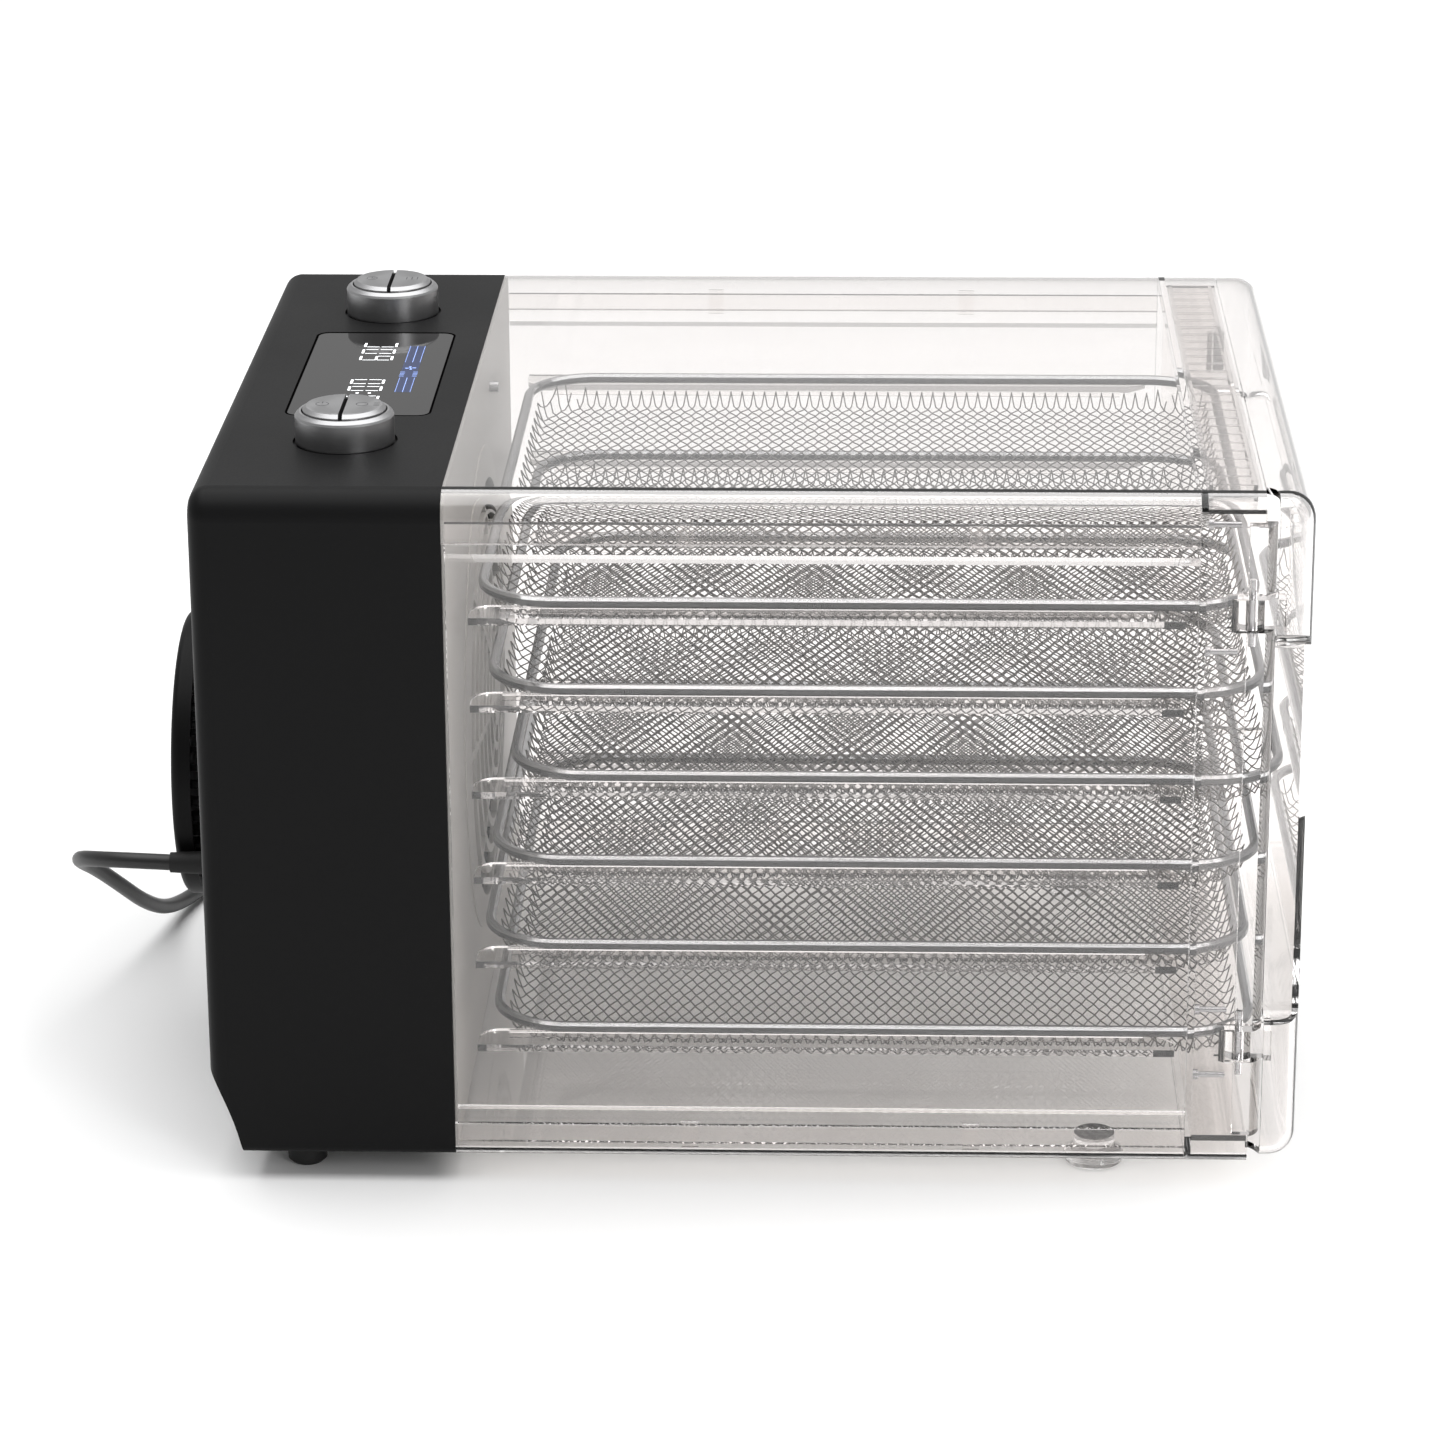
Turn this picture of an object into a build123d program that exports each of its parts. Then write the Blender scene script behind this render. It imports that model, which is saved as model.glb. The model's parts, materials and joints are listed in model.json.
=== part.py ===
from build123d import *
import os
from math import cos, pi, radians, sin, sqrt, tan

# A countertop food dehydrator, in millimetres. +X points to the door, where the user stands,
# -X to the fan housing, +Y to the far side and -Y to the hinge side. +Z is up. The origin is
# the middle of the footprint, without the power cord, at the height of the table.

# --- Overall size -----------------------------------------------------------------------------
body_length = 450.0        # back of the housing to the front of the door
body_width = 360.0
body_height = 287.0        # without feet and knobs
foot_height = 12.0
wall = 2.8                 # housing, clear panels and door
edge_radius = 12.0         # long top edges, and all corners of the door
bottom_radius = 4.0        # long bottom edges
assembly_gap = 0.3         # between parts that are pushed together
clear_gap = 0.15           # air between clear mouldings that lie against each other

# --- Housing for the fan, heater and controls --------------------------------------------------
housing_length = 102.0
housing_rear_radius = 8.0
notch_depth = 13.5         # hollow under the back edge
notch_height = 36.0
rear_wall_thickness = 3.0

# --- Controls on top of the housing ------------------------------------------------------------
knob_from_rear = 56.5
knob_spacing = 206.0
knob_radius = 20.5
knob_height = 13.2
knob_bore = 17.6
knob_well_gap = 1.1        # dark ring round the foot of a knob
knob_well_depth = 1.5
button_radius = 17.2
button_slit = 1.7
button_proud = 2.2         # above the rim of the knob
button_thickness = 5.8
button_travel = 1.0
display_from_rear = 57.5
display_length = 60.0      # along X
display_width = 132.0      # along Y
display_corner = 5.0
display_thickness = 2.0

# --- Fan, guard and air intake -----------------------------------------------------------------
fan_axis_height = body_height / 2   # above the underside of the body
fan_radius = 58.0
fan_blades = 7
shaft_radius = 2.5
bracket_circle = 101.0     # radius of the posts that carry the motor bracket
sensor_place = (60.0, body_height - 25.0)   # along Y and above the underside of the body
sensor_radius = 2.4
guard_radius = 105.0
guard_rise = 6.0
guard_seat = 9.0           # width of the guard's rim on the rear wall
bracket_post = 10.0
intake_height = 113.0      # centre of the rear cover above the underside of the body
cover_radius = 63.0
cover_stand_off = 31.0
cover_slat_radius = 53.0
cover_slats = 44

# --- Clear chamber -----------------------------------------------------------------------------
panel_front = body_length - 46.0   # front end of the side, top and bottom panels, from the rear face
top_flange = 20.5          # height of the top panel's side flanges
bottom_flange = 14.5
lap_height = 8.0           # tongue of a side panel behind each flange
rail_width = 17.2          # from the inside of the wall
rail_thickness = 3.0
rail_start = 112.0
rail_end = body_length - 51.0
tray_count = 6
lowest_rail = 46.5         # underside of the lowest rail above the underside of the body
head_room = 17.9           # over the top tray, beyond one pitch
tray_pitch = (body_height - lowest_rail - head_room) / tray_count
clip_width = 7.0
clip_places = (199.6, 315.8)

# --- Front frame, door and hinge ---------------------------------------------------------------
door_split = body_length - 20.0   # front face of the frame, from the rear face
frame_depth_y = 9.5        # side posts of the frame, from the outside
frame_sill = 9.0
door_gap = 0.4
door_front_radius = 11.0
grip_low = 64.0            # finger recess in the sides of the door
grip_high = body_height - 61.0
grip_depth = 9.0
hinge_inset_x = 4.5        # pin axis behind the door split
hinge_inset_y = 8.0        # pin axis inside the near face
hinge_nose = 9.4
hinge_relief = 9.8
pin_radius = 1.5
pin_length = 28.0
pin_clearance = 0.05
knuckle_height = 13.2
knuckle_radius = 6.0
pin_centres = (52.0, body_height - 49.0)   # heights above the underside of the body
hinge_screw_heights = (38.0, 67.0, body_height - 65.0, body_height - 12.0)
catch_heights = (40.0, body_height - 40.0)

# --- Trays -------------------------------------------------------------------------------------
tray_length = body_length - 132.0
tray_width = body_width - 30.0
tray_corner = 32.0
rim_width = 4.0
rim_height = 4.2
mesh_thickness = 0.35
mesh_depth = 12.0
tray_lift = 0.3            # running clearance over the rails
tray_stop = 112.0          # back of a tray pushed right in, from the rear face
tray_rest = (1.0, 4.5, 13.0, 4.5, 1.0, 4.0)   # from the stop, top tray first

# --- Feet --------------------------------------------------------------------------------------
rear_foot_radius = 8.2
rear_foot_place = (37.5, 158.0)
front_foot_radius = 12.5
front_foot_place = (body_length - 82.0, 152.0)

# --- Power cord --------------------------------------------------------------------------------
cord_diameter = 7.0
cord_exit_y = -62.0
cord_exit_height = 84.0    # above the underside of the body
relief_length = 30.0
coil_turn_radius = 50.0
cord_spacing = 7.2         # between turns that lie side by side

# --- Derived places ----------------------------------------------------------------------------
rear = -(body_length - cover_stand_off) / 2
front = rear + body_length
base_z = foot_height
top_z = base_z + body_height
half_width = body_width / 2
mouth = rear + housing_length
split = rear + door_split
pin_x = split - hinge_inset_x
pin_y = -half_width + hinge_inset_y
fan_z = base_z + fan_axis_height
wall_face = rear + housing_length + 1.0        # front of the chamber's rear wall
knob_x = rear + knob_from_rear
knob_places = {"near": -knob_spacing / 2, "far": knob_spacing / 2}


# --- Helpers -----------------------------------------------------------------------------------
def block(x0, x1, y0, y1, z0, z1):
    """Box between two corners."""
    return Pos((x0 + x1) / 2, (y0 + y1) / 2, (z0 + z1) / 2) * Box(x1 - x0, y1 - y0, z1 - z0)


def post(x, y, z0, z1, radius):
    """Upright cylinder."""
    return Pos(x, y, (z0 + z1) / 2) * Cylinder(radius, z1 - z0)


def bar_x(x0, x1, y, z, radius):
    """Cylinder along X."""
    return Pos((x0 + x1) / 2, y, z) * Rot(0, 90, 0) * Cylinder(radius, x1 - x0)


def body_bar(x0, x1, inset=0.0, low_radius=bottom_radius):
    """Length of the body's rounded cross-section, drawn in by inset all round."""
    half = half_width - inset
    low, high = base_z + inset, top_z - inset
    face = Pos(0, (low + high) / 2) * Rectangle(2 * half, high - low)
    face = fillet(face.vertices().group_by(Axis.Y)[-1], max(edge_radius - inset, 0.6))
    face = fillet(face.vertices().group_by(Axis.Y)[0], max(low_radius - inset, 0.6))
    return extrude(Plane((x0, 0, 0), x_dir=(0, 1, 0), z_dir=(1, 0, 0)) * face, x1 - x0)


def turned(points, x, y, z, along="z"):
    """Solid turned from (radius, height) points about an axis through x, y, z."""
    solid = revolve(Plane.XZ * make_face(Polyline(*points, close=True)), Axis.Z)
    turn = Rot(0, 90, 0) if along == "x" else Rot(0, 0, 0)
    return Pos(x, y, z) * turn * solid


def flat_plate(length, width, corner, thickness, x, y, z):
    """Rounded rectangular plate with its underside at z."""
    return Pos(x, y, z) * extrude(RectangleRounded(length, width, corner), thickness)


def save(name, *solids):
    """Write one node: one solid, or a group of separate ones."""
    shape = solids[0] if len(solids) == 1 else Compound(children=list(solids))
    export_step(shape, f"parts/{name}.step")


# --- Housing -----------------------------------------------------------------------------------
def notch(offset):
    """Hollow below the back of the housing, offset into it."""
    outline = make_face(
        Line((-20, notch_height + offset), (offset, notch_height + offset))
        + ThreePointArc((offset, notch_height + offset),
                        (0.62 * notch_depth + offset, notch_height / 2 + offset),
                        (notch_depth + offset, -1))
        + Polyline((notch_depth + offset, -1), (-20, -1), (-20, notch_height + offset))
    )
    plane = Plane((rear, -half_width - 5, base_z), x_dir=(1, 0, 0), z_dir=(0, -1, 0))
    return extrude(plane * outline, -(body_width + 10))


def rear_rounded(bar, radius):
    """Round the sides and top of the bar's back face."""
    back = bar.faces().sort_by(Axis.X)[0]
    edges = back.edges().sort_by(Axis.Z)[1:]
    return fillet(edges, radius)


def housing_shell():
    outer = rear_rounded(body_bar(rear, mouth) - notch(0), housing_rear_radius)
    inner = body_bar(rear + wall, mouth + 1, wall) - notch(wall)
    inner = rear_rounded(inner, housing_rear_radius - wall)
    shell = outer - inner
    floor_start = rear + notch_depth + wall
    shell -= block(floor_start, mouth + 1, -half_width + wall, half_width - wall,
                   base_z - 1, base_z + wall + 1)
    for y in knob_places.values():
        shell -= post(knob_x, y, top_z - knob_well_depth, top_z + 1, knob_radius + knob_well_gap)
        shell -= post(knob_x, y, top_z - wall - 1, top_z + 1, button_radius - 1.4)
    display_x = rear + display_from_rear
    pocket = 2 * assembly_gap
    shell -= flat_plate(display_length + pocket, display_width + pocket, display_corner,
                        display_thickness + 1, display_x, 0, top_z - display_thickness)
    shell -= flat_plate(display_length - 8, display_width - 8, display_corner, wall + 2,
                        display_x, 0, top_z - wall - 1)
    shell -= bar_x(rear - 1, rear + wall + 1, 0, base_z + intake_height, cover_slat_radius - 6)
    shell -= bar_x(rear - 1, rear + wall + 1, cord_exit_y, base_z + cord_exit_height, 6.0)
    return shell


def base_plate():
    start = rear + notch_depth + wall + assembly_gap
    half = half_width - wall - assembly_gap
    plate = block(start, mouth - assembly_gap, -half, half, base_z, base_z + wall)
    for step in range(9):
        x = start + 14 + step * 7.5
        plate -= block(x, x + 3.5, -70, 70, base_z - 1, base_z + wall + 1)
    return plate


def bracket_posts():
    """Centres of the four posts round the fan."""
    angles = [radians(45 + 90 * turn) for turn in range(4)]
    return [(bracket_circle * cos(a), fan_z + bracket_circle * sin(a)) for a in angles]


def chamber_rear_wall():
    back = wall_face - rear_wall_thickness
    plate = body_bar(back, wall_face, wall + assembly_gap)
    plate -= bar_x(back - 1, wall_face + 1, 0, fan_z, guard_radius - guard_seat)
    plate -= bar_x(back - 1, wall_face + 1, sensor_place[0], base_z + sensor_place[1], sensor_radius)
    for y, z in bracket_posts():
        plate += bar_x(back - bracket_post, back, y, z, 4.0)
    return plate


def fan_guard():
    """Domed grille of rings and spokes over the fan's opening."""
    thickness = 2.4
    bow = (guard_radius ** 2 + guard_rise ** 2) / (2 * guard_rise)
    middle = guard_rise - bow + sqrt(bow ** 2 - (guard_radius / 2) ** 2)
    profile = make_face(
        Line((0, guard_rise - thickness), (0, guard_rise))
        + ThreePointArc((0, guard_rise), (guard_radius / 2, middle), (guard_radius, 0.6))
        + Polyline((guard_radius, 0.6), (guard_radius, 0), (guard_radius - guard_seat, 0),
                   (0, guard_rise - thickness))
    )
    dome = revolve(Plane.XZ * profile, Axis.Z)
    slots = None
    for ring in range(7):
        inner = 16 + ring * 11.2
        cut = Cylinder(inner + 7.6, 40) - Cylinder(inner, 50)
        slots = cut if slots is None else slots + cut
    for turn in range(4):
        slots -= Rot(0, 0, 45 * turn) * Box(2 * guard_radius, 3.2, 60)
    return Pos(wall_face, 0, fan_z) * Rot(0, 90, 0) * (dome - slots)


def intake_cover():
    """Round rear cover on a ring of slats."""
    reach = cover_stand_off
    cap = revolve(Plane.XZ * make_face(
        Line((0, reach - 3), (0, reach))
        + ThreePointArc((0, reach), (cover_radius / 2, reach - 0.6), (cover_radius - 3, reach - 2.4))
        + ThreePointArc((cover_radius - 3, reach - 2.4), (cover_radius - 0.8, reach - 3.6),
                        (cover_radius, reach - 6))
        + Polyline((cover_radius, reach - 6), (cover_radius, reach - 11),
                   (cover_radius - 2.6, reach - 11), (cover_radius - 3, reach - 5.6),
                   (0, reach - 3))
    ), Axis.Z)
    flange = Pos(0, 0, 1.25) * (Cylinder(cover_slat_radius + 3, 2.5) - Cylinder(cover_slat_radius - 4, 3))
    cover = cap + flange
    for slat in range(cover_slats):
        angle = 360 / cover_slats * (slat + 0.5)
        if abs(angle - 180) < 26:
            continue
        upright = Pos(cover_slat_radius, 0, (reach - 4) / 2) * Box(4.0, 2.6, reach - 4)
        cover += Rot(0, 0, angle) * upright
    return Pos(rear, 0, base_z + intake_height) * Rot(0, -90, 0) * cover


# --- Controls ----------------------------------------------------------------------------------
def display_window():
    return flat_plate(display_length, display_width, display_corner - assembly_gap,
                      display_thickness - 0.1, rear + display_from_rear, 0, top_z - display_thickness)


def display_board():
    x, under = rear + display_from_rear, top_z - wall - assembly_gap
    board = block(x - 27, x + 27, -74, 74, under - 8.6, under - 7)
    digits = block(x - 14, x + 10, -40, 60, under - 7, under - 0.5)
    icons = block(x + 11, x + 20, -34, 48, under - 7, under - 0.5)
    return board + digits + icons


def knob_ring(y):
    """Turning ring with a bevelled rim."""
    foot = 0.8 - knob_well_depth
    return turned([(knob_bore, foot), (knob_radius - 0.6, foot), (knob_radius, foot + 0.6),
                   (knob_radius, knob_height - 2.2), (knob_radius - 0.5, knob_height - 1.3),
                   (knob_radius - 1.9, knob_height), (knob_bore + 0.2, knob_height),
                   (knob_bore, knob_height - 0.4)], knob_x, y, top_z)


def control_core(y):
    """Fixed stem inside a knob, which holds its two buttons."""
    floor = knob_height + button_proud - button_thickness - button_travel - 0.5
    low = -knob_well_depth - wall - 9
    core = turned([(0, low), (button_radius - 1.7, low), (button_radius - 1.7, floor),
                   (0, floor)], knob_x, y, top_z)
    for side in (-1, 1):
        core -= post(knob_x + side * 8, y, top_z + floor - 3.2, top_z + floor + 1, 2.6)
    return core


def half_button(y, side):
    """Half-round button; side is -1 for the rear half, +1 for the door half."""
    high = knob_height + button_proud
    low = high - button_thickness
    disc = turned([(0, low), (button_radius, low), (button_radius, high - 1.6),
                   (button_radius - 1.5, high - 0.2), (button_radius - 2.4, high), (0, high)],
                  knob_x, y, top_z)
    keep = block(button_slit / 2, 30, -30, 30, -30, 60) if side > 0 else \
        block(-30, -button_slit / 2, -30, 30, -30, 60)
    half = disc & (Pos(knob_x, y, top_z) * keep)
    return half + post(knob_x + side * 8, y, top_z + low - 2.6, top_z + low, 2.2)


def encoder(y):
    low = top_z - wall - knob_well_depth - 9
    return block(knob_x - 13, knob_x + 13, y - 13, y + 13, low - 9, low - 0.2)


# --- Fan and heater ----------------------------------------------------------------------------
def motor():
    x = rear + 28
    body = bar_x(x, x + 40, 0, fan_z, 29) + bar_x(x - 4, x, 0, fan_z, 12)
    for turn in range(8):
        angle = 45 * turn
        body -= Pos(x + 20, 0, fan_z) * Rot(angle, 0, 0) * Pos(0, 0, 29) * Box(28, 5, 4)
    return body - bar_x(x - 6, x + 60, 0, fan_z, shaft_radius + pin_clearance)


def motor_bracket():
    """Four-armed spider that hangs the motor on the rear wall's posts."""
    x = rear + 68
    plate = bar_x(x, x + 2, 0, fan_z, 33)
    for turn in range(4):
        arm = Rot(45 + 90 * turn, 0, 0) * Pos(0, 0, bracket_circle / 2) * Box(2, 12, bracket_circle + 8)
        plate += Pos(x + 1, 0, fan_z) * arm
    plate -= bar_x(x - 1, x + 3, 0, fan_z, 8)
    for y, z in bracket_posts():
        plate += bar_x(x + 2, wall_face - rear_wall_thickness - bracket_post, y, z, 4.0)
    return plate


def motor_shaft():
    return bar_x(rear + 22, rear + 93, 0, fan_z, shaft_radius)


def fan_impeller():
    """Axial fan wheel on the motor shaft."""
    x = rear + 75
    hub = bar_x(x, x + 17, 0, fan_z, 13) - bar_x(x - 1, x + 18, 0, fan_z, shaft_radius)
    for blade in range(fan_blades):
        turn = 360 / fan_blades * blade
        vane = Pos(0, 0, (fan_radius + 10) / 2) * Rot(0, 0, 32) * Box(2.0, 24, fan_radius - 10)
        hub += Pos(x + 8.5, 0, fan_z) * Rot(turn, 0, 0) * vane
    return hub & bar_x(x, x + 17, 0, fan_z, fan_radius)


def heater_frame():
    """Mica cross that carries the heating element round the fan."""
    x = rear + 83
    frame = None
    for turn in range(4):
        angle = 90 * turn
        arm = Pos(x, 0, fan_z) * Rot(angle, 0, 0) * Pos(0, 0, 78) * Box(12, 1.6, 30)
        frame = arm if frame is None else frame + arm
    ring = bar_x(x - 6, x - 4.5, 0, fan_z, 93) - bar_x(x - 7, x - 4, 0, fan_z, 86)
    return frame + ring


def heater_coil():
    x = rear + 83
    coil = Pos(x + 1, 0, fan_z) * Rot(0, 90, 0) * Torus(76, 3.2)
    return coil - heater_frame()


# --- Clear chamber -----------------------------------------------------------------------------
def chamber_ring(x0, x1):
    """Tube of wall thickness with the body's outline."""
    return body_bar(x0, x1) - body_bar(x0 - 1, x1 + 1, wall)


def top_panel():
    start, end = mouth + 0.1, rear + panel_front
    ring = chamber_ring(start, end)
    return ring & block(start - 1, end + 1, -half_width - 1, half_width + 1,
                        top_z - top_flange, top_z + 1)


def bottom_panel():
    start, end = mouth + 0.1, rear + panel_front
    ring = chamber_ring(start, end)
    return ring & block(start - 1, end + 1, -half_width - 1, half_width + 1,
                        base_z - 1, base_z + bottom_flange)


def side_panel(side):
    """Side wall with a tongue behind the top and bottom flanges."""
    start, end = mouth + 0.1, rear + panel_front
    outer, inner = half_width, half_width - wall
    tongue_out, tongue_in = inner - 0.2, inner - wall
    high, low = top_z - top_flange - 0.2, base_z + bottom_flange + 0.2
    outline = [(outer, low), (outer, high), (tongue_out, high), (tongue_out, high + lap_height),
               (tongue_in, high + lap_height), (tongue_in, high - 5), (inner, high - 5 - wall),
               (inner, low + 5 + wall), (tongue_in, low + 5), (tongue_in, low - 9),
               (tongue_out, low - 9), (tongue_out, low)]
    face = make_face(Polyline(*[(side * y, z) for y, z in outline], close=True))
    plane = Plane((start + 1.2, 0, 0), x_dir=(0, 1, 0), z_dir=(1, 0, 0))
    return extrude(plane * face, end - start - 1.2)


def tray_rail(side, level):
    """One ledge, with a rounded inner back corner and a bevelled front end."""
    under = base_z + lowest_rail + tray_pitch * level
    outer = half_width - wall - clear_gap
    inner = half_width - wall - rail_width
    x0, x1 = rear + rail_start, rear + rail_end
    face = make_face(
        Polyline((x0, outer), (x0, inner + 9)) + ThreePointArc(
            (x0, inner + 9), (x0 + 2.6, inner + 2.6), (x0 + 9, inner))
        + Polyline((x0 + 9, inner), (x1 - 8, inner), (x1, inner + 8), (x1, outer), (x0, outer)))
    ledge = extrude(Pos(0, 0, under) * face, rail_thickness)
    lip = block(x0 + 12, x1 - 12, inner + 0.6, inner + 2.2, under - 2.2, under)
    ledge = ledge + lip
    return ledge if side > 0 else mirror(ledge, Plane.XZ)


def panel_clips():
    """Snap clips that lock the top and bottom panels to the sides."""
    clips = []
    for place in clip_places:
        x = rear + place
        for side in (-1, 1):
            face = half_width + clear_gap
            for low, high in ((top_z - top_flange - 2.2, top_z - top_flange + 9),
                              (base_z + bottom_flange - 9, base_z + bottom_flange + 2.2)):
                y0, y1 = sorted((side * face, side * (face + 1.2)))
                clips.append(block(x - clip_width / 2, x + clip_width / 2, y0, y1, low, high))
    return clips


# --- Front frame -------------------------------------------------------------------------------
def hinge_windows(margin):
    """Heights of the two knuckles, each with a margin above and below."""
    return [(base_z + z - knuckle_height / 2 - margin, base_z + z + knuckle_height / 2 + margin)
            for z in pin_centres]


def front_frame():
    """Channel-shaped frame round the mouth of the chamber."""
    start, end = rear + panel_front + 0.1, split
    outer = body_bar(start, end)
    hollow = body_bar(start + wall, end + 1, wall)
    opening = block(start - 1, end + 1, -half_width + frame_depth_y, half_width - frame_depth_y,
                    base_z + frame_sill, top_z - frame_sill)
    skin = block(start, end, -half_width + frame_depth_y - 2.0, half_width - frame_depth_y + 2.0,
                 base_z + frame_sill - 2.0, top_z - frame_sill + 2.0)
    frame = (outer - hollow) + (skin & outer) - opening
    nose = post(pin_x, pin_y, base_z + edge_radius, top_z - edge_radius, hinge_nose)
    nose &= block(pin_x - 2, pin_x + 20, -half_width, pin_y + hinge_nose + 1, base_z, top_z)
    frame += nose
    frame -= block(start - 1, end + 6, -half_width + frame_depth_y, half_width - frame_depth_y,
                   base_z + frame_sill, top_z - frame_sill)
    for low, high in hinge_windows(assembly_gap):
        frame -= post(pin_x, pin_y, low, high, hinge_relief + 0.1)
    for z in pin_centres:
        frame -= post(pin_x, pin_y, base_z + z - pin_length / 2 - 0.1,
                      base_z + z + pin_length / 2 + 0.1, pin_radius + 0.02)
    return frame


def vent_grille():
    """Ladder of ribs in the top of the front frame."""
    x0, x1 = rear + panel_front + 4, split - 2.5
    high, low = top_z - wall - 0.2, top_z - frame_sill + 2.2
    half = half_width - 22
    ladder = block(x0, x0 + 1.6, -half, half, low, high) + block(x1 - 1.6, x1, -half, half, low, high)
    ribs = 27
    for rib in range(ribs):
        y = -half + 1 + (2 * half - 2) * rib / (ribs - 1)
        ladder += block(x0, x1, y - 0.8, y + 0.8, low, high)
    return ladder


def hinge_pin(height):
    return post(pin_x, pin_y, base_z + height - pin_length / 2, base_z + height + pin_length / 2,
                pin_radius)


def hinge_screw(height):
    """Steel screw along X inside the near post of the frame, head towards the chamber."""
    x, y, z = rear + panel_front + wall + 0.2, -half_width + wall + 2.3, base_z + height
    return bar_x(x, x + 2.0, y, z, 2.2) + bar_x(x + 2.0, x + 13, y, z, 1.2)


def strike_plate(height):
    z = base_z + height
    y = half_width - frame_depth_y / 2 - 0.4
    return block(split - 2.4, split - 0.2, y - 2.2, y + 2.2, z - 9, z + 9)


# --- Door --------------------------------------------------------------------------------------
def grip(side, grow):
    """Finger recess in one side of the door, grown by a wall for the inside."""
    low, high = base_z + grip_low - grow, base_z + grip_high + grow
    inner, outer = half_width - grip_depth - grow, half_width + 5
    y0, y1 = sorted((side * inner, side * outer))
    cut = block(split - 5, front + 5, y0, y1, low, high)
    edges = cut.edges().filter_by(Axis.X).sort_by(lambda e: abs(e.center().Y))[0:2]
    return fillet(edges, 4 + grow)


def door_form(x0, x1, inset, front_radius):
    solid = body_bar(x0, x1, inset, edge_radius)
    loop = solid.faces().sort_by(Axis.X)[-1].edges()
    return fillet(loop, front_radius)


def door_shell():
    back = split + door_gap
    outer = door_form(back, front, 0.0, door_front_radius)
    inner = door_form(back - 4, front - wall, wall, door_front_radius - wall)
    for side in (-1, 1):
        outer -= grip(side, 0.0)
        inner -= grip(side, wall)
    door = outer - inner
    door -= post(pin_x, pin_y, base_z - 1, top_z + 1, hinge_relief)
    door -= block(back - 1, pin_x + hinge_relief, -half_width - 1, pin_y, base_z - 1, top_z + 1)
    for window in hinge_windows(0):
        door += door_knuckle(window)
    for low, high in hinge_windows(1):
        door -= post(pin_x, pin_y, low, high, pin_radius + pin_clearance)
    return door


def door_knuckle(window):
    """Knuckle and arm that carry the door on its pin."""
    low, high = window
    pad_start, pad_end = pin_x + hinge_relief + 0.4, pin_x + hinge_relief + 3.4
    arm = block(pin_x, pad_end, pin_y - 3.6, pin_y + 3.6, low, high)
    arm += block(pad_start, pad_end, -half_width + wall / 2, pin_y + 3.6, low, high)
    return arm + post(pin_x, pin_y, low, high, knuckle_radius)


def door_magnet(height):
    z = base_z + height
    y = half_width - frame_depth_y / 2 - 0.4
    return block(split + door_gap + 0.2, split + door_gap + 5, y - 1.6, y + 1.6, z - 9, z + 9)


# --- Trays -------------------------------------------------------------------------------------
def tray_base(level):
    """Underside of the rim of the tray on a rail; level 0 is the lowest."""
    return base_z + lowest_rail + tray_pitch * level + rail_thickness + tray_lift


def tray_rim(x, z):
    rim = extrude(RectangleRounded(tray_length, tray_width, tray_corner), rim_height)
    rim -= Pos(0, 0, -1) * extrude(
        RectangleRounded(tray_length - 2 * rim_width, tray_width - 2 * rim_width,
                         tray_corner - rim_width), rim_height + 2)
    rim = chamfer(rim.edges().group_by(Axis.Z)[0] + rim.edges().group_by(Axis.Z)[-1], 1.1)
    return Pos(x, 0, z) * rim


def basket(inset, height, drop, slope=24.0):
    """Solid form of the basket, drawn in by inset, with its top at height."""
    shrink = 2 * (rim_width + 2.6 + inset)
    outline = RectangleRounded(tray_length - shrink, tray_width - shrink,
                               tray_corner - rim_width - 2.6 - inset)
    return Pos(0, 0, height) * extrude(outline, -drop, taper=slope)


def tray_mesh(x, z):
    """Thin closed pan in the place of the wire mesh."""
    seat = 1.2
    flange = flat_plate(tray_length - 2 * rim_width - 0.2, tray_width - 2 * rim_width - 0.2,
                        tray_corner - rim_width - 0.1, mesh_thickness, 0, 0, seat)
    pan = flange + basket(0, seat + mesh_thickness, mesh_depth)
    pan -= basket(mesh_thickness, seat + mesh_thickness + 0.001, mesh_depth - mesh_thickness)
    return Pos(x, 0, z) * pan


# --- Feet --------------------------------------------------------------------------------------
def rear_foot(side):
    x, y = rear + rear_foot_place[0], side * rear_foot_place[1]
    return turned([(0, 0), (rear_foot_radius - 1.5, 0), (rear_foot_radius, 1.5),
                   (rear_foot_radius, foot_height), (0, foot_height)], x, y, 0)


def front_foot(side):
    x, y = rear + front_foot_place[0], side * front_foot_place[1]
    r = front_foot_radius
    return turned([(0, 0), (r - 2.5, 0), (r - 0.6, 1.0), (r, 3.0), (r - 1.0, 5.0), (r - 4, 7.5),
                   (r - 4, foot_height), (0, foot_height)], x, y, 0)


# --- Power cord --------------------------------------------------------------------------------
exit_z = base_z + cord_exit_height
exit_x = rear - relief_length
floor_z = cord_diameter / 2 + 0.1
coil_x, coil_y = -159.5, 242.0
coil_start = coil_x - coil_turn_radius
cord_route = [
    (exit_x, cord_exit_y, exit_z),
    (-255.0, -61.8, 96.6),
    (-271.0, -55.0, 94.5),
    (-282.5, -41.0, 89.5),
    (-286.0, -22.0, 81.0),
    (-283.0, 2.0, 68.0),
    (-277.0, 30.0, 49.0),
    (-271.5, 60.0, 29.0),
    (-267.0, 91.0, 13.5),
    (-262.0, 121.0, 5.2),
    (-254.0, 149.0, floor_z),
    (-243.0, 174.0, floor_z),
    (-230.0, 197.0, floor_z),
    (-217.5, 218.0, floor_z),
    (coil_start, 240.0, floor_z),
]


def cord_radii():
    """Largest radius at each corner: 0.45 of the shorter run over the tangent of half the turn."""
    radii = []
    points = [Vector(*p) for p in cord_route]
    for a, b, c in zip(points, points[1:], points[2:]):
        turn = (b - a).get_angle(c - b)
        radii.append(0.45 * min((b - a).length, (c - b).length) / tan(radians(turn / 2)))
    return radii


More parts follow.
